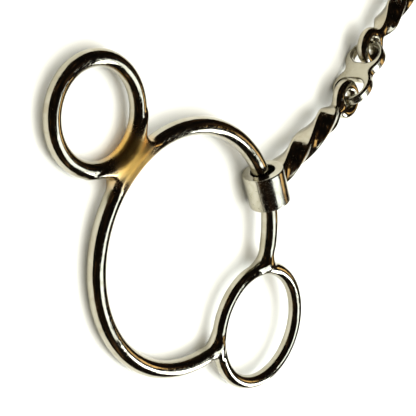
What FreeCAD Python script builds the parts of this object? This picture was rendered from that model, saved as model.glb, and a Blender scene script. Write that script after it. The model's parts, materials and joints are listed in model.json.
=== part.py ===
import FreeCAD, Part
import math
import os

import Sketcher

# Three-ring gag bit with a twisted, double-jointed mouth.
# Frame: +X runs along the mouth, +Z is up, and the bit lies on the plane Z = 0.
# Each side is drawn once, in its own local frame, and placed twice.

Vector = FreeCAD.Vector
Rotation = FreeCAD.Rotation
Placement = FreeCAD.Placement
X_AXIS = Vector(1, 0, 0)
Y_AXIS = Vector(0, 1, 0)
Z_AXIS = Vector(0, 0, 1)

doc = FreeCAD.newDocument("gag_bit")
sheet = doc.addObject("Spreadsheet::Sheet", "Sizes")

# Lengths are in millimetres and angles in degrees.
SIZES = {
    "main_ring_radius": 44.0,      # centre line of the ring that carries the mouth
    "main_wire": 6.5,
    "upper_ring_radius": 17.7,     # ring for the cheekpiece
    "upper_wire": 5.8,
    "upper_ring_reach": 67.8,      # main ring centre to upper ring centre
    "upper_ring_angle": 94.9,
    "lower_ring_radius": 23.0,     # ring for the lower rein
    "lower_wire": 5.4,
    "lower_ring_reach": 55.4,
    "lower_ring_angle": -79.4,
    "web_thickness": 4.6,          # flat between the main ring and the upper ring
    "web_half_angle": 12.5,
    "web_upper_half_angle": 29.0,
    "web_waist": 15.5,
    "sleeve_outside": 16.2,        # drilled barrel that rides on the main ring
    "sleeve_bore": 9.6,
    "sleeve_length": 14.0,
    "sleeve_chamfer": 0.5,
    "sleeve_angle": -12.9,         # where the sleeve sits on the main ring
    "sleeve_outset": 0.5,          # bore pulled outward over the wire
    "sleeve_turn": -5.7,           # sleeve squared to the ring, not quite to the arm
    "saddle_gap": 0.08,            # running gap between the sleeve and the arm's end
    "arm_reach": 61.4,             # sleeve axis to eye axis
    "bar_side": 8.0,               # square bar of the twisted arm
    "bar_corner": 1.2,
    "bar_end": 46.0,
    "bar_twist": -4.35,            # degrees for each millimetre along the bar
    "bar_first_turn": 24.0,
    "eye_wire": 4.6,
    "eye_radius": 5.9,
    "link_eye_radius": 8.5,
    "link_eye_offset": 7.2,
    "link_waist": 12.6,
    "link_thickness": 4.6,
    "link_hole_offset": 8.6,
    "link_hole_width": 9.0,
    "link_hole_height": 12.2,
    "link_rounding": 0.85,
    "link_hinge_offset": 13.6,     # middle of the link to the axis of each arm's eye
    "link_angle": 14.2,
    "left_arm_angle": -7.2,
    "right_arm_angle": 4.0,
}
for row, (name, value) in enumerate(SIZES.items(), start=1):
    sheet.set(f"A{row}", name)
    sheet.set(f"B{row}", str(value))
    sheet.setAlias(f"B{row}", name)
doc.recompute()


def size(name):
    """Value of one cell of the sheet."""
    return float(sheet.get(name))


def bind(thing, prop, formula):
    """Tie a property of an object to the sheet."""
    thing.setExpression(prop, formula)


def origin_plane(body, role):
    """One of a body's own origin planes."""
    return next(part for part in body.Origin.OriginFeatures if part.Role == role)


def new_sketch(body, name, role):
    """Sketch on an origin plane of a body."""
    sketch = body.newObject("Sketcher::SketchObject", name)
    sketch.AttachmentSupport = [(origin_plane(body, role), "")]
    sketch.MapMode = "FlatFace"
    return sketch


def add_circle(sketch, centre, diameter, name, formula):
    """Circle whose diameter follows the sheet."""
    index = sketch.addGeometry(Part.Circle(centre, Z_AXIS, diameter / 2), False)
    constraint = sketch.addConstraint(Sketcher.Constraint("Diameter", index, diameter))
    sketch.renameConstraint(constraint, name)
    sketch.setExpression(f"Constraints.{name}", formula)
    return index


def edges_of_circle(shape, diameter):
    """Names of a shape's circular edges of one diameter."""
    return [
        f"Edge{number}"
        for number, edge in enumerate(shape.Edges, start=1)
        if isinstance(edge.Curve, Part.Circle)
        and abs(edge.Curve.Radius * 2 - diameter) < 1e-6
    ]


def polar(radius, degrees):
    """Point of the XY plane at a radius and an angle."""
    angle = math.radians(degrees)
    return Vector(radius * math.cos(angle), radius * math.sin(angle), 0)


# ---- cheek: three rings and a web, cast in one piece, flat in its own XY plane ----

def ring(name, radius_cell, wire_cell, centre):
    """Full ring of round wire."""
    torus = doc.addObject("Part::Torus", name)
    bind(torus, "Radius1", f"Sizes.{radius_cell}")
    bind(torus, "Radius2", f"Sizes.{wire_cell} / 2")
    torus.Placement = Placement(centre, Rotation())
    return torus


def crossing_half_angle():
    """Half the stretch of the main ring that the lower ring stands in for."""
    main = size("main_ring_radius")
    lower = size("lower_ring_radius")
    reach = size("lower_ring_reach")
    cosine = (main ** 2 + reach ** 2 - lower ** 2) / (2 * main * reach)
    return math.degrees(math.acos(cosine))


def web_plate(thickness):
    """Plate between the main ring and the upper ring, with hollow sides.

    Its ends lie inside the two rings' wires, and each side is one arc that pulls
    in to the waist between them.
    """
    main = size("main_ring_radius")
    upper = size("upper_ring_radius")
    reach = size("upper_ring_reach")
    waist = Vector((main + reach - upper) / 2, size("web_waist") / 2, 0)
    low = polar(main, size("web_half_angle"))
    high = Vector(reach, 0, 0) + polar(upper, 180 - size("web_upper_half_angle"))

    def mirrored(point):
        return Vector(point.x, -point.y, 0)

    outline = [
        Part.LineSegment(mirrored(low), low).toShape(),
        Part.Arc(low, waist, high).toShape(),
        Part.LineSegment(high, mirrored(high)).toShape(),
        Part.Arc(mirrored(high), mirrored(waist), mirrored(low)).toShape(),
    ]
    plate = Part.Face(Part.Wire(outline)).extrude(Vector(0, 0, thickness))
    plate.translate(Vector(0, 0, -thickness / 2))
    return plate


def cheek(side):
    """Main ring, cheekpiece ring, lower rein ring and web, fused."""
    lower_angle = size("lower_ring_angle")
    upper_angle = size("upper_ring_angle")
    half_gap = crossing_half_angle()
    main = doc.addObject("Part::Torus", f"{side}_main_ring")
    bind(main, "Radius1", "Sizes.main_ring_radius")
    bind(main, "Radius2", "Sizes.main_wire / 2")
    main.Angle3 = 360 - 2 * half_gap
    main.Placement = Placement(Vector(), Rotation(Z_AXIS, lower_angle + half_gap))
    upper = ring(f"{side}_upper_ring", "upper_ring_radius", "upper_wire",
                 polar(size("upper_ring_reach"), upper_angle))
    lower = ring(f"{side}_lower_ring", "lower_ring_radius", "lower_wire",
                 polar(size("lower_ring_reach"), lower_angle))
    web = doc.addObject("Part::Feature", f"{side}_web")
    web.Shape = web_plate(size("web_thickness"))
    web.Placement = Placement(Vector(), Rotation(Z_AXIS, upper_angle))
    fused = doc.addObject("Part::MultiFuse", f"{side}_cheek")
    fused.Shapes = [main, upper, lower, web]
    fused.Refine = True
    return fused


# ---- sleeve: drilled barrel, bore along its local Y ----

def sleeve(side):
    """Turned barrel with a through bore and broken edges."""
    body = doc.addObject("PartDesign::Body", f"{side}_sleeve")
    sketch = new_sketch(body, f"{side}_sleeve_section", "XZ_Plane")
    add_circle(sketch, Vector(), size("sleeve_outside"), "outside", "Sizes.sleeve_outside")
    add_circle(sketch, Vector(), size("sleeve_bore"), "bore", "Sizes.sleeve_bore")
    for index in (0, 1):
        sketch.addConstraint(Sketcher.Constraint("Coincident", index, 3, -1, 1))
    pad = body.newObject("PartDesign::Pad", f"{side}_sleeve_pad")
    pad.Profile = sketch
    bind(pad, "Length", "Sizes.sleeve_length")
    pad.SideType = "Symmetric"
    doc.recompute()
    broken = body.newObject("PartDesign::Chamfer", f"{side}_sleeve_edges")
    rims = edges_of_circle(pad.Shape, size("sleeve_outside"))
    rims += edges_of_circle(pad.Shape, size("sleeve_bore"))
    broken.Base = (pad, rims)
    bind(broken, "Size", "Sizes.sleeve_chamfer")
    body.Tip = broken
    return body


# ---- arm: twisted square bar along local +X, from the sleeve's axis to the eye ----

def rounded_square(at, side, corner, turn):
    """Square with round corners across the bar, turned about the bar's line."""
    half = side / 2
    flat = half - corner
    reach = flat + corner * math.sqrt(0.5)
    edges = []
    for quarter in range(4):
        spin = Rotation(X_AXIS, turn + 90 * quarter)

        def place(y, z):
            return Vector(at, 0, 0) + spin.multVec(Vector(0, y, z))

        edges.append(Part.LineSegment(place(half, -flat), place(half, flat)).toShape())
        edges.append(Part.Arc(place(half, flat), place(reach, reach), place(flat, half)).toShape())
    return Part.Wire(edges)


def twisted_bar():
    """Bar lofted through turned sections, then drawn down to a round neck.

    No single feature turns a section as it runs, so the loft is made here.
    """
    start = size("sleeve_outside") / 4
    end = size("bar_end")
    side = size("bar_side")
    corner = size("bar_corner")
    steps = round(abs(size("bar_twist")) * (end - start) / 15)

    def turn(at):
        return size("bar_first_turn") + size("bar_twist") * (at - start)

    sections = []
    for step in range(steps + 1):
        at = start + (end - start) * step / steps
        sections.append(rounded_square(at, side, corner, turn(at)))
    # The neck goes on turning while it narrows to the eye's wire.
    eye_edge = size("arm_reach") - size("eye_radius")
    neck = size("eye_wire") * 0.9
    for share in (0.25, 0.5, 0.75, 1.0):
        at = end + (eye_edge - end) * share
        width = side + (neck - side) * share
        rounding = corner + (neck * 0.48 - corner) * share
        sections.append(rounded_square(at, width, rounding, turn(at)))
    return Part.makeLoft(sections, True, False)


def arm(side):
    """Twisted bar with a closed eye at one end and a saddle for the sleeve."""
    bar = doc.addObject("Part::Feature", f"{side}_bar")
    bar.Shape = twisted_bar()
    eye = doc.addObject("Part::Torus", f"{side}_eye")
    bind(eye, "Radius1", "Sizes.eye_radius")
    bind(eye, "Radius2", "Sizes.eye_wire / 2")
    eye.Placement = Placement(Vector(size("arm_reach"), 0, 0), Rotation())
    joined = doc.addObject("Part::MultiFuse", f"{side}_bar_and_eye")
    joined.Shapes = [bar, eye]
    seat = doc.addObject("Part::Cylinder", f"{side}_seat")
    bind(seat, "Radius", "Sizes.sleeve_outside / 2 + Sizes.saddle_gap")
    bind(seat, "Height", "Sizes.sleeve_length * 2")
    across = Placement(Vector(0, size("sleeve_length"), 0), Rotation(X_AXIS, 90))
    seat.Placement = Placement(Vector(), Rotation(Z_AXIS, size("sleeve_turn"))) * across
    cut = doc.addObject("Part::Cut", f"{side}_arm")
    cut.Base = joined
    cut.Tool = seat
    return cut


# ---- centre link: flat plate on edge with an oval hole at each end ----

def link_outline(sketch):
    """Two round ends joined by hollow sides."""
    radius = size("link_eye_radius")
    offset = size("link_eye_offset")
    waist = size("link_waist") / 2
    hollow = (radius ** 2 - offset ** 2 - waist ** 2) / (2 * (waist - radius))
    hollow_centre = Vector(0, waist + hollow, 0)
    tilt = math.degrees(math.atan2(hollow_centre.y, offset))
    for end in (1, -1):
        centre = Vector(end * offset, 0, 0)
        base = 0 if end > 0 else 180
        first = math.radians(base - (180 - tilt))
        last = math.radians(base + (180 - tilt))
        circle = Part.Circle(centre, Z_AXIS, radius)
        sketch.addGeometry(Part.ArcOfCircle(circle, first, last), False)
    for up in (1, -1):
        circle = Part.Circle(hollow_centre * up, Z_AXIS, hollow)
        base = -90 if up > 0 else 90
        first = math.radians(base - (90 - tilt))
        last = math.radians(base + (90 - tilt))
        sketch.addGeometry(Part.ArcOfCircle(circle, first, last), False)


def link_holes(sketch):
    """Oval holes, taller than they are long."""
    radius = size("link_hole_width") / 2
    rise = size("link_hole_height") / 2 - radius
    for end in (1, -1):
        middle = end * size("link_hole_offset")
        for up in (1, -1):
            circle = Part.Circle(Vector(middle, up * rise, 0), Z_AXIS, radius)
            first = 0 if up > 0 else math.pi
            sketch.addGeometry(Part.ArcOfCircle(circle, first, first + math.pi), False)
        for along in (1, -1):
            low = Vector(middle + along * radius, -rise, 0)
            high = Vector(middle + along * radius, rise, 0)
            sketch.addGeometry(Part.LineSegment(low, high), False)


def centre_link():
    """Link plate in its local XZ plane."""
    body = doc.addObject("PartDesign::Body", "centre_link")
    outline = new_sketch(body, "link_outline", "XZ_Plane")
    link_outline(outline)
    plate = body.newObject("PartDesign::Pad", "link_plate")
    plate.Profile = outline
    bind(plate, "Length", "Sizes.link_thickness")
    plate.SideType = "Symmetric"
    openings = new_sketch(body, "link_openings", "XZ_Plane")
    link_holes(openings)
    pocket = body.newObject("PartDesign::Pocket", "link_holes")
    pocket.Profile = openings
    pocket.Type = "ThroughAll"
    pocket.SideType = "Symmetric"
    doc.recompute()
    if pocket.Shape.Volume > plate.Shape.Volume - 1:
        raise RuntimeError("the link's holes cut nothing")
    rounding = body.newObject("PartDesign::Fillet", "link_rounding")
    half = size("link_thickness") / 2
    rims = [
        f"Edge{number}"
        for number, edge in enumerate(pocket.Shape.Edges, start=1)
        if all(abs(abs(vertex.Y) - half) < 1e-6 for vertex in edge.Vertexes)
    ]
    rounding.Base = (pocket, rims)
    bind(rounding, "Radius", "Sizes.link_rounding")
    body.Tip = rounding
    return body


# ---- the seven pieces ----

link = centre_link()
sides = {}
for side in ("left", "right"):
    sides[side] = {"cheek": cheek(side), "sleeve": sleeve(side), "arm": arm(side)}
doc.recompute()

# ---- placing: the bit lies on Z = 0 as it comes to rest on a table ----

sleeve_height = size("sleeve_outside") / 2
ring_drop = sleeve_height - size("main_wire") / 2
ring_span = 2 * size("main_ring_radius") + size("sleeve_outset")
cheek_tilt = math.degrees(math.asin(ring_drop / ring_span))


def arm_placement(side):
    """Sleeve centre as origin, local +X towards the link.

    The right side is the left one turned over and end for end.
    """
    outward = -1 if side == "left" else 1
    direction = size(f"{side}_arm_angle")
    hinge = polar(outward * size("link_hinge_offset"), size("link_angle"))
    centre = hinge + polar(outward * size("arm_reach"), direction)
    centre.z = sleeve_height
    if side == "left":
        return Placement(centre, Rotation(Z_AXIS, direction))
    return Placement(centre, Rotation(Z_AXIS, direction + 180) * Rotation(X_AXIS, 180))


def sleeve_placement(side):
    """Sleeve squared to the ring inside it."""
    turn = Placement(Vector(), Rotation(Z_AXIS, size("sleeve_turn")))
    return arm_placement(side) * turn


def cheek_placement(side):
    """Cheek threaded through the sleeve, tipped until its far edge touches down."""
    tilt = -cheek_tilt if side == "left" else cheek_tilt
    tip = Placement(Vector(), Rotation(Y_AXIS, tilt))
    turn = Rotation(Z_AXIS, -size("sleeve_angle"))
    outset = size("main_ring_radius") + size("sleeve_outset")
    threaded = Placement(Vector(-outset, 0, 0), turn)
    return sleeve_placement(side) * tip * threaded


link.Label = "centre_link"
link.Placement = Placement(Vector(0, 0, size("link_eye_radius")),
                           Rotation(Z_AXIS, size("link_angle")))
parts = [link]
placers = {"cheek": cheek_placement, "sleeve": sleeve_placement, "arm": arm_placement}
for side, pieces in sides.items():
    for name, piece in pieces.items():
        piece.Label = f"{side}_{name}"
        piece.Placement = placers[name](side)
        parts.append(piece)
doc.recompute()

# The origin moves to the middle of the bit's box, at the height of the table.
whole = Part.makeCompound([part.Shape for part in parts])
box = whole.optimalBoundingBox(False, False)
shift = Vector(-box.Center.x, -box.Center.y, -box.ZMin)
for part in parts:
    part.Placement = Placement(part.Placement.Base + shift, part.Placement.Rotation)
doc.recompute()

# ---- checks and files ----

for thing in doc.Objects:
    if "Invalid" in thing.State or "Error" in thing.State:
        raise RuntimeError(f"{thing.Name} failed: {thing.State}")
os.makedirs("parts", exist_ok=True)
for part in parts:
    shape = part.Shape
    if shape.isNull() or not shape.isValid() or len(shape.Solids) != 1:
        raise RuntimeError(f"{part.Label} is not one valid solid")
    shape.exportStep(f"parts/{part.Label}.step")
    print(f"{part.Label}: {shape.Volume:.0f} mm3, z {shape.BoundBox.ZMin:.2f} to {shape.BoundBox.ZMax:.2f}")
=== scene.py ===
import json
from math import cos, radians, sin

import bpy
import numpy as np
from mathutils import Matrix, Vector


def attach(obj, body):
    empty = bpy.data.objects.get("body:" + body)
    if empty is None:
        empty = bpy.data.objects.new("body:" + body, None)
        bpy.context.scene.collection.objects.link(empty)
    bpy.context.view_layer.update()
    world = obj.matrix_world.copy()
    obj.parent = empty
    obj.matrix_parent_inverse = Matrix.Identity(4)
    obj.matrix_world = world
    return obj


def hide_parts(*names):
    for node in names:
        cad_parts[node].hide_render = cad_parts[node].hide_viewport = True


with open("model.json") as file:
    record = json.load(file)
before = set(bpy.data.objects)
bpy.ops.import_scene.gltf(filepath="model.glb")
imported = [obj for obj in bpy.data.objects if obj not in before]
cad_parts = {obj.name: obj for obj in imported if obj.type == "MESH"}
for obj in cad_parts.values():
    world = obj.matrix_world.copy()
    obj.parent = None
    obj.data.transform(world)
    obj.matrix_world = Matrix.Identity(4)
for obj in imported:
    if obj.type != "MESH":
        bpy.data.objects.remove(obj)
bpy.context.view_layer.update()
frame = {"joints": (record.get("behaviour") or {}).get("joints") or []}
pins = {joint["name"]: joint for joint in frame["joints"]}


# ---- cheeks ----
# Each cheek is one stainless casting: a large ring of round wire, a small ring
# for the headpiece joined to it by a flat web, and a rein ring let into its side.
# The joins are ground out by hand and the whole casting is buffed bright.

main_ring = {"radius": 44.0, "wire": 6.5}
upper_ring = {"radius": 17.7, "wire": 5.8, "reach": 67.8, "bearing": 94.9}
lower_ring = {"radius": 23.0, "wire": 5.4, "reach": 55.4, "bearing": -79.4}
sleeve_bearing = -12.9


def joined(first, second, fillet):
    """Two distance fields as one body, with a hollow fillet between them."""
    share = np.clip(0.5 + 0.5 * (second - first) / fillet, 0, 1)
    return second + (first - second) * share - fillet * share * (1 - share)


def wire_ring(points, middle, radius, wire):
    """Distance to a ring of round wire lying flat."""
    reach = np.hypot(points[..., 0] - middle[0], points[..., 1] - middle[1])
    return np.hypot(reach - radius, points[..., 2]) - wire / 2


def rounded_step(value, start, end):
    """Eases from nought at one value to one at another."""
    share = np.clip((value - start) / (end - start), 0, 1)
    return share * share * (3 - 2 * share)


def outside_of(points, middle, radius):
    """Rises from nearly nothing inside a ring's wire to one at its outside."""
    reach = np.hypot(points[..., 0] - middle[0], points[..., 1] - middle[1])
    return 0.01 + 0.99 * rounded_step(reach, radius - 2.2, radius + 2.2)


def out_from(origin, reach, degrees):
    """Point at a reach and bearing, in degrees, from another on a flat."""
    angle = radians(degrees)
    return (origin[0] + reach * cos(angle), origin[1] + reach * sin(angle))


def cheek_body(points):
    """Distance to the cheek, in millimetres, from the middle of its main ring."""
    x, y, z = points[..., 0], points[..., 1], points[..., 2]
    upper_at = out_from((0, 0), upper_ring["reach"], upper_ring["bearing"])
    lower_at = out_from((0, 0), lower_ring["reach"], lower_ring["bearing"])
    # The main ring thins and stops where the rein ring takes its place.
    half_gap = 24.0
    ground_off = 1.3
    bearing = (np.degrees(np.arctan2(y, x)) - lower_ring["bearing"] + 180) % 360 - 180
    wire = main_ring["wire"] - ground_off * rounded_step(np.abs(bearing), 36, 25)
    main = wire_ring(points, (0, 0), main_ring["radius"], wire)
    end_radius = (main_ring["wire"] - ground_off) / 2
    for side in (-1, 1):
        end = out_from((0, 0), main_ring["radius"], lower_ring["bearing"] + side * half_gap)
        stub = np.sqrt((x - end[0]) ** 2 + (y - end[1]) ** 2 + z ** 2) - end_radius
        main = np.where((bearing * side >= 0) & (np.abs(bearing) < half_gap), stub, main)
    lower = wire_ring(points, lower_at, lower_ring["radius"], lower_ring["wire"])
    upper = wire_ring(points, upper_at, upper_ring["radius"], upper_ring["wire"])
    # The web: a plate with hollow sides, running out along the line of the rings.
    line = radians(upper_ring["bearing"])
    along = x * cos(line) + y * sin(line)
    across = y * cos(line) - x * sin(line)
    waist_at = 47.0
    half_waist = 8.2
    half_thick = 2.4
    hollow = half_waist + 1.4 * ((along - waist_at) / 4.1) ** 2
    outline = np.maximum(np.abs(across) - hollow, np.abs(along - waist_at - 0.5) - 5)
    web = -joined(-outline, half_thick - np.abs(z), 1.2)
    # The fillets are only on the outsides of the rings; the insides stay round.
    head = joined(upper, web, 4.5 * outside_of(points, upper_at, upper_ring["radius"]))
    rings = joined(main, lower, 5.5 * outside_of(points, lower_at, lower_ring["radius"]))
    return joined(rings, head, 4.5 * outside_of(points, (0, 0), main_ring["radius"]))


def skinned(name, body, low, high, cell):
    """Mesh of the skin of a distance field, made in millimetres and kept in metres."""
    counts = np.ceil(np.subtract(high, low) / cell).astype(int) + 1
    steps = [low[axis] + cell * np.arange(counts[axis]) for axis in range(3)]
    points = np.stack(np.meshgrid(*steps, indexing="ij"), axis=-1)
    value = body(points)
    inside = value < 0
    cells = tuple(counts - 1)
    total = np.zeros(cells + (3,))
    hits = np.zeros(cells)
    crossings = []
    for axis in range(3):
        near = [slice(None)] * 3
        far = [slice(None)] * 3
        near[axis] = slice(None, -1)
        far[axis] = slice(1, None)
        near, far = tuple(near), tuple(far)
        crossed = inside[near] != inside[far]
        drop = np.where(crossed, value[near] - value[far], 1)
        at = points[near].copy()
        at[..., axis] += cell * np.where(crossed, value[near] / drop, 0)
        sides = [other for other in range(3) if other != axis]
        crossings.append((axis, sides, crossed))
        for first in (0, 1):
            for second in (0, 1):
                pick = [slice(None)] * 3
                pick[sides[0]] = slice(first, first + cells[sides[0]])
                pick[sides[1]] = slice(second, second + cells[sides[1]])
                pick = tuple(pick)
                total += at[pick] * crossed[pick][..., None]
                hits += crossed[pick]
    filled = hits > 0
    number = np.full(cells, -1)
    number[filled] = np.arange(filled.sum())
    corners = total[filled] / hits[filled][:, None]
    faces = []
    for axis, sides, crossed in crossings:
        inner = [slice(None)] * 3
        inner[sides[0]] = slice(1, -1)
        inner[sides[1]] = slice(1, -1)
        live = np.argwhere(crossed[tuple(inner)])
        live[:, sides] += 1
        around = []
        for first, second in ((-1, -1), (0, -1), (0, 0), (-1, 0)):
            beside = live.copy()
            beside[:, sides[0]] += first
            beside[:, sides[1]] += second
            around.append(number[tuple(beside.T)])
        quads = np.stack(around, axis=1)
        turned = inside[tuple(live.T)] == (axis == 1)
        quads[turned] = quads[turned][:, ::-1]
        faces.append(quads)
    # Each corner is drawn onto the true surface, down the slope found by small nudges.
    nudge = 0.01
    for _ in range(3):
        slope = np.stack([
            (body(corners + nudge * line) - body(corners - nudge * line)) / (2 * nudge)
            for line in np.eye(3)
        ], axis=-1)
        steep = np.maximum((slope ** 2).sum(axis=-1), 0.1)
        corners -= slope * (body(corners) / steep)[:, None]
    mesh = bpy.data.meshes.new(name)
    mesh.from_pydata((corners / 1000).tolist(), [], np.concatenate(faces).tolist())
    mesh.shade_smooth()
    return mesh


def stand(origin, x_line, z_line):
    """Placement with its z along one line and its x as near another as can be."""
    z = Vector(z_line).normalized()
    x = Vector(x_line)
    x = (x - z * x.dot(z)).normalized()
    turn = Matrix((x, z.cross(x), z)).transposed().to_4x4()
    return Matrix.Translation(origin) @ turn


def fit(mesh, name, place):
    """Piece of the bit that stands in for the CAD node of the same name."""
    piece = bpy.data.objects.new(f"{name}_piece", mesh)
    bpy.context.scene.collection.objects.link(piece)
    piece.matrix_world = place
    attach(piece, name)
    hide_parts(name)
    return piece


cheek_mesh = skinned("cheek", cheek_body, (-50, -84, -4.2), (50, 90, 4.2), 0.45)
cheeks = {}
sleeve_points = {}
for side in ("left", "right"):
    slide = pins[f"{side}_ring_slide"]
    swing = pins[f"{side}_cheek_swing"]
    sleeve_points[side] = Vector(swing["pos_m"])
    towards_sleeve = sleeve_points[side] - Vector(slide["pos_m"])
    place = stand(slide["pos_m"], towards_sleeve, slide["axis"])
    place = place @ Matrix.Rotation(radians(-sleeve_bearing), 4, "Z")
    cheeks[side] = fit(cheek_mesh.copy(), f"{side}_cheek", place)


# ---- the finish of every piece ----
# Buffed steel is never quite even: soft smears of polishing compound, hairlines
# from the wheel, and a faint ripple left under the shine by the linishing belt.

def add_node(tree, kind, **settings):
    """Shader node with its settings; links and plain values go on afterwards."""
    node = tree.nodes.new(kind)
    for key, value in settings.items():
        setattr(node, key, value)
    return node


def put(tree, node, **sockets):
    """Links or plain values for a node's inputs, by name with _ for a space."""
    for key, value in sockets.items():
        socket = node.inputs[key.replace("_", " ")]
        if isinstance(value, bpy.types.NodeSocket):
            tree.links.new(value, socket)
        else:
            socket.default_value = value
    return node


def maths(tree, operation, *values):
    """What a maths node puts out, fed with links or plain numbers in order."""
    node = add_node(tree, "ShaderNodeMath", operation=operation)
    for socket, value in zip(node.inputs, values):
        if isinstance(value, bpy.types.NodeSocket):
            tree.links.new(value, socket)
        else:
            socket.default_value = value
    return node.outputs["Value"]


def buffing_group():
    """Smears, hairlines, handling wear and ripple, shared by every piece."""
    group = bpy.data.node_groups.new("buffing", "ShaderNodeTree")
    face = group.interface
    for name in ("Smear", "Hairline", "Worn"):
        face.new_socket(name, in_out="OUTPUT", socket_type="NodeSocketFloat")
    face.new_socket("Normal", in_out="OUTPUT", socket_type="NodeSocketVector")
    where = add_node(group, "ShaderNodeTexCoord").outputs["Object"]
    smear = put(group, add_node(group, "ShaderNodeTexNoise"),
                Vector=where, Scale=140.0, Detail=4.0, Roughness=0.6, Distortion=0.8)
    drawn = add_node(group, "ShaderNodeMapping")
    put(group, drawn, Vector=where, Rotation=(0.4, 0.2, 0.7), Scale=(260.0, 3400.0, 3400.0))
    hair = put(group, add_node(group, "ShaderNodeTexNoise"),
               Vector=drawn.outputs["Vector"], Scale=1.0, Detail=3.0)
    hair_ramp = add_node(group, "ShaderNodeMapRange", interpolation_type="SMOOTHSTEP")
    put(group, hair_ramp, Value=hair.outputs["Fac"], From_Min=0.56, From_Max=0.72)
    nicks = put(group, add_node(group, "ShaderNodeTexVoronoi"),
                Vector=where, Scale=420.0, Randomness=1.0)
    nick_ramp = add_node(group, "ShaderNodeMapRange", interpolation_type="SMOOTHSTEP")
    put(group, nick_ramp, Value=nicks.outputs["Distance"], From_Min=0.16, From_Max=0.04)
    nick_patch = maths(group, "MULTIPLY", nick_ramp.outputs["Result"], smear.outputs["Fac"])
    ripple = put(group, add_node(group, "ShaderNodeTexNoise"),
                 Vector=where, Scale=210.0, Detail=1.5)
    ripple_bump = add_node(group, "ShaderNodeBump")
    put(group, ripple_bump, Strength=0.5, Distance=0.00022, Height=ripple.outputs["Fac"])
    hair_bump = add_node(group, "ShaderNodeBump", invert=True)
    put(group, hair_bump, Strength=0.22, Distance=0.00004,
        Height=hair_ramp.outputs["Result"], Normal=ripple_bump.outputs["Normal"])
    ends = add_node(group, "NodeGroupOutput")
    put(group, ends, Smear=smear.outputs["Fac"], Hairline=hair_ramp.outputs["Result"],
        Worn=nick_patch, Normal=hair_bump.outputs["Normal"])
    return group


buffing = buffing_group()


def steel(name, clean, dull, low_roughness, high_roughness, painted_reflection_at=None):
    """Buffed steel: its tint and its sheen both follow the smears and the wear."""
    material = bpy.data.materials.new(name)
    material.use_nodes = True
    tree = material.node_tree
    shader = tree.nodes["Principled BSDF"]
    shader.inputs["Metallic"].default_value = 1.0
    wear = add_node(tree, "ShaderNodeGroup", node_tree=buffing)
    smeared = add_node(tree, "ShaderNodeMapRange")
    put(tree, smeared, Value=wear.outputs["Smear"], From_Min=0.42, From_Max=0.68)
    smeared = smeared.outputs["Result"]
    tint = add_node(tree, "ShaderNodeMix", data_type="RGBA")
    put(tree, tint, Factor=smeared, A=(*clean, 1), B=(*dull, 1))
    tint = tint.outputs["Result"]
    sheen = add_node(tree, "ShaderNodeMapRange")
    put(tree, sheen, Value=smeared, To_Min=low_roughness, To_Max=high_roughness)
    scuffed = maths(tree, "MAXIMUM", wear.outputs["Hairline"], wear.outputs["Worn"])
    sheen = maths(tree, "MULTIPLY_ADD", scuffed, 0.16, sheen.outputs["Result"])
    # A painted golden reflection can be laid over one place of the steel.
    if painted_reflection_at:
        tint, sheen = warm_reflection_painted(tree, tint, sheen, painted_reflection_at)
    put(tree, shader, Base_Color=tint, Roughness=sheen, Normal=wear.outputs["Normal"])
    return material


def warm_reflection_painted(tree, tint, sheen, middle):
    """Makes one place only satin, with a painted golden reflection of the warm lampshade on
    it.
    """
    place = add_node(tree, "ShaderNodeTexCoord").outputs["Object"]
    away = add_node(tree, "ShaderNodeVectorMath", operation="DISTANCE")
    tree.links.new(place, away.inputs[0])
    away.inputs[1].default_value = (middle[0] / 1000, middle[1] / 1000, 0.0)
    near = add_node(tree, "ShaderNodeMapRange", interpolation_type="SMOOTHSTEP")
    put(tree, near, Value=away.outputs["Value"], From_Min=0.015, From_Max=0.005)
    near = near.outputs["Result"]
    # Painted reflection: a golden colour mixed in towards the middle of that place.
    painted_reflection = add_node(tree, "ShaderNodeMix", data_type="RGBA")
    put(tree, painted_reflection, Factor=near, A=tint, B=(0.66, 0.40, 0.10, 1))
    return painted_reflection.outputs["Result"], maths(tree, "MULTIPLY_ADD", near, 0.27, sheen)


# The web carries a painted golden reflection of the warm lampshade, not a colour of its own.
web_middle = out_from((0, 0), 47.4, upper_ring["bearing"])
cheek_steel = steel("cheek_steel", (0.47, 0.44, 0.355), (0.38, 0.345, 0.255), 0.05, 0.13,
                    painted_reflection_at=web_middle)
for cheek in cheeks.values():
    cheek.data.materials.append(cheek_steel)


# ---- sleeves ----
# Short barrels turned from bar and drilled through, so that the main ring runs in
# the bore. The edges are broken in the lathe and the end faces keep its tool marks.

def turned_sleeve():
    """Barrel about its own y line, lathed from one closed profile."""
    # The broken outer edge, the shallow rings from facing off, and the bore's edge.
    profile = [out_from((7.6, 6.5), 0.5, 15 * step) for step in range(7)]
    profile += [(7.5 - 0.17 * step, 7.0 - 0.03 * (step % 2)) for step in range(1, 13)]
    profile += [out_from((5.2, 6.6), 0.4, 90 + 15 * step) for step in range(7)]
    profile += [(radius, -height) for radius, height in reversed(profile)]
    turns = 144
    corners = []
    for step in range(turns):
        angle = 2 * np.pi * step / turns
        for radius, height in profile:
            corners.append((radius * cos(angle) / 1000, height / 1000,
                            radius * sin(angle) / 1000))
    ring = len(profile)
    faces = []
    for step in range(turns):
        here = step * ring
        there = (step + 1) % turns * ring
        for index in range(ring):
            after = (index + 1) % ring
            faces.append((here + index, here + after, there + after, there + index))
    mesh = bpy.data.meshes.new("sleeve")
    mesh.from_pydata(corners, [], faces)
    mesh.shade_smooth()
    return mesh


sleeve_mesh = turned_sleeve()
turned_steel = steel("turned_steel", (0.49, 0.465, 0.38), (0.41, 0.38, 0.29), 0.15, 0.25)
for side in ("left", "right"):
    swing = pins[f"{side}_cheek_swing"]
    place = stand(swing["pos_m"], (0, 0, 1), swing["axis"])
    place = place @ Matrix.Rotation(radians(-90), 4, "X")
    sleeve = fit(sleeve_mesh.copy(), f"{side}_sleeve", place)
    sleeve.data.materials.append(turned_steel)


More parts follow.
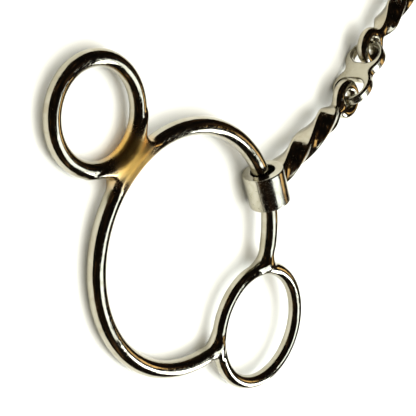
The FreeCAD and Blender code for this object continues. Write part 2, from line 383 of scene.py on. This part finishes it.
# ---- arms ----
# Each arm is a square bar twisted hot, drawn down to a round neck and bent round
# into a closed eye. Its other end is flared and brazed to the side of the sleeve.

arm_reach = 61.4
bar_side = 8.0
bar_stop = 57.0
eye_radius = 5.75
eye_wire = 5.0
seat_radius = 8.18


def arm_body(points):
    """Distance to the arm, in millimetres, from the sleeve's middle to the eye."""
    x, y, z = points[..., 0], points[..., 1], points[..., 2]
    # The square starts out turned a little and twists the same amount each millimetre.
    turn = np.radians(24 - 4.35 * (x - 3.75))
    across = np.abs(y * np.cos(turn) + z * np.sin(turn))
    up = np.abs(z * np.cos(turn) - y * np.sin(turn))
    drawn = rounded_step(x, 45, 56)
    flare = np.exp(-np.maximum(x - 6.5, 0) / 2.4)
    half = bar_side / 2 - 1.9 * drawn + 0.3 * flare
    corner = 0.9 + 1.05 * drawn + 2.4 * flare
    over = np.maximum(across - half + corner, 0)
    above = np.maximum(up - half + corner, 0)
    bar = np.hypot(over, above) - corner
    bar = bar + np.minimum(np.maximum(across, up) - half + corner, 0)
    bar = np.maximum(bar, x - bar_stop)
    eye = wire_ring(points, (arm_reach, 0), eye_radius, eye_wire)
    solid = joined(bar, eye, 2.2)
    # Its flared end is hollowed to sit round the sleeve, which stands at a slight tilt.
    tilt = radians(5.7)
    seat = seat_radius - np.hypot(x * cos(tilt) - y * sin(tilt), z)
    return np.maximum(solid, seat)


arm_mesh = skinned("arm", arm_body, (4, -9.6, -8), (71, 9.6, 8), 0.33)
mouth_steel = steel("mouth_steel", (0.45, 0.415, 0.325), (0.35, 0.305, 0.22), 0.06, 0.16)
hinge_points = {}
for side, up in (("left", (0, 0, 1)), ("right", (0, 0, -1))):
    hinge_points[side] = Vector(pins[f"{side}_link_hinge"]["pos_m"])
    along = hinge_points[side] - sleeve_points[side]
    place = stand(sleeve_points[side], along, up)
    arm = fit(arm_mesh.copy(), f"{side}_arm", place)
    arm.data.materials.append(mouth_steel)


# ---- centre link ----
# A stamped plate standing on edge, pinched at the waist, with an oval hole at each
# end for an arm's eye. The rims are rounded over and the flat faces left satin.

link_end = {"radius": 8.5, "out": 7.2}
link_hole = {"radius": 4.5, "out": 8.6, "half_slot": 1.6}
link_half_thick = 2.3
link_rim = 1.15


def link_body(points):
    """Distance to the link, in millimetres, from its middle."""
    x, y, z = points[..., 0], points[..., 1], points[..., 2]
    near = np.hypot(x + link_end["out"], z) - link_end["radius"]
    far = np.hypot(x - link_end["out"], z) - link_end["radius"]
    outline = joined(near, far, 4.3)
    up = np.maximum(np.abs(z) - link_hole["half_slot"], 0)
    hole = np.hypot(np.abs(x) - link_hole["out"], up) - link_hole["radius"]
    over = np.maximum(outline, -hole) + link_rim
    thick = np.abs(y) - link_half_thick + link_rim
    rounded = np.hypot(np.maximum(over, 0), np.maximum(thick, 0))
    return rounded + np.minimum(np.maximum(over, thick), 0) - link_rim


link_mesh = skinned("link", link_body, (-16.4, -2.9, -9.1), (16.4, 2.9, 9.1), 0.2)
link_steel = steel("link_steel", (0.43, 0.40, 0.315), (0.37, 0.34, 0.255), 0.16, 0.26)
middle = (hinge_points["left"] + hinge_points["right"]) / 2
middle.z = link_end["radius"] / 1000
link = fit(link_mesh, "centre_link",
           stand(middle, hinge_points["right"] - hinge_points["left"], (0, 0, 1)))
link.data.materials.append(link_steel)


# ---- table, light and camera ----
# A sheet of matt white paper on a table, lit from above by two wide soft lamps. The
# steel sees a window, a ceiling light and a warm lampshade in a room left dim.

paper_mesh = bpy.data.meshes.new("paper")
paper_mesh.from_pydata([(-1.6, -1.6, 0), (1.6, -1.6, 0), (1.6, 1.6, 0), (-1.6, 1.6, 0)],
                       [], [(0, 1, 2, 3)])
paper = bpy.data.objects.new("paper", paper_mesh)
bpy.context.scene.collection.objects.link(paper)
paper.location.z = -0.0004
white = bpy.data.materials.new("white_paper")
white.use_nodes = True
put(white.node_tree, white.node_tree.nodes["Principled BSDF"],
    Base_Color=(0.90, 0.90, 0.85, 1), Roughness=0.7)
paper_mesh.materials.append(white)


def lamp(name, place, width, height, power, tint, shows_in_steel=True):
    """Soft rectangular lamp aimed at the bit."""
    light = bpy.data.lights.new(name, "AREA")
    light.shape = "RECTANGLE"
    light.size = width
    light.size_y = height
    light.energy = power
    light.color = tint
    holder = bpy.data.objects.new(name, light)
    bpy.context.scene.collection.objects.link(holder)
    holder.location = place
    holder.rotation_euler = (-Vector(place)).to_track_quat("-Z", "Y").to_euler()
    holder.visible_glossy = shows_in_steel


# Two big lamps light the paper only; the other three are what the polish shows.
lamp("daylight", (0.10, -0.30, 1.20), 1.5, 1.3, 13.0, (1.0, 0.99, 0.96), shows_in_steel=False)
lamp("bounce", (-0.3, 0.3, 1.6), 2.8, 2.8, 42.0, (1.0, 0.99, 0.93), shows_in_steel=False)
lamp("window", (0.02, -0.86, 0.50), 0.26, 0.62, 4.6, (0.88, 0.95, 1.0))
lamp("ceiling_light", (-0.02, -0.50, 0.97), 0.70, 0.42, 2.6, (0.86, 0.94, 1.0))
lamp("lampshade", (0.56, -0.66, 0.66), 0.24, 0.26, 0.32, (1.0, 0.66, 0.28))


def dim_room():
    """Brown, unlit room with a few warmer patches in it."""
    room = bpy.data.worlds.new("room")
    room.use_nodes = True
    tree = room.node_tree
    around = add_node(tree, "ShaderNodeTexCoord").outputs["Generated"]
    patches = put(tree, add_node(tree, "ShaderNodeTexNoise"),
                  Vector=around, Scale=2.6, Detail=3.0, Distortion=0.6)
    shades = add_node(tree, "ShaderNodeValToRGB")
    put(tree, shades, Fac=patches.outputs["Fac"])
    shades.color_ramp.elements[0].position = 0.47
    shades.color_ramp.elements[0].color = (0.006, 0.005, 0.004, 1)
    shades.color_ramp.elements[1].position = 0.74
    shades.color_ramp.elements[1].color = (0.22, 0.12, 0.05, 1)
    middle_shade = shades.color_ramp.elements.new(0.60)
    middle_shade.color = (0.032, 0.018, 0.010, 1)
    put(tree, tree.nodes["Background"], Color=shades.outputs["Color"], Strength=1.0)
    bpy.context.scene.world = room


dim_room()

camera_data = bpy.data.cameras.new("camera")
camera_data.sensor_width = 36
camera_data.lens = 86.54
camera_data.clip_start = 0.01
camera = bpy.data.objects.new("camera", camera_data)
bpy.context.scene.collection.objects.link(camera)
looks = Vector((0.48573, -0.61174, -0.62437)).normalized()
rightward = Vector((0.52891, -0.36300, 0.76713))
rightward = (rightward - looks * rightward.dot(looks)).normalized()
turn = Matrix((rightward, rightward.cross(looks), -looks)).transposed().to_4x4()
camera.matrix_world = Matrix.Translation((-0.276891, 0.220901, 0.229946)) @ turn
bpy.context.scene.camera = camera
bpy.context.scene.view_settings.view_transform = "Standard"
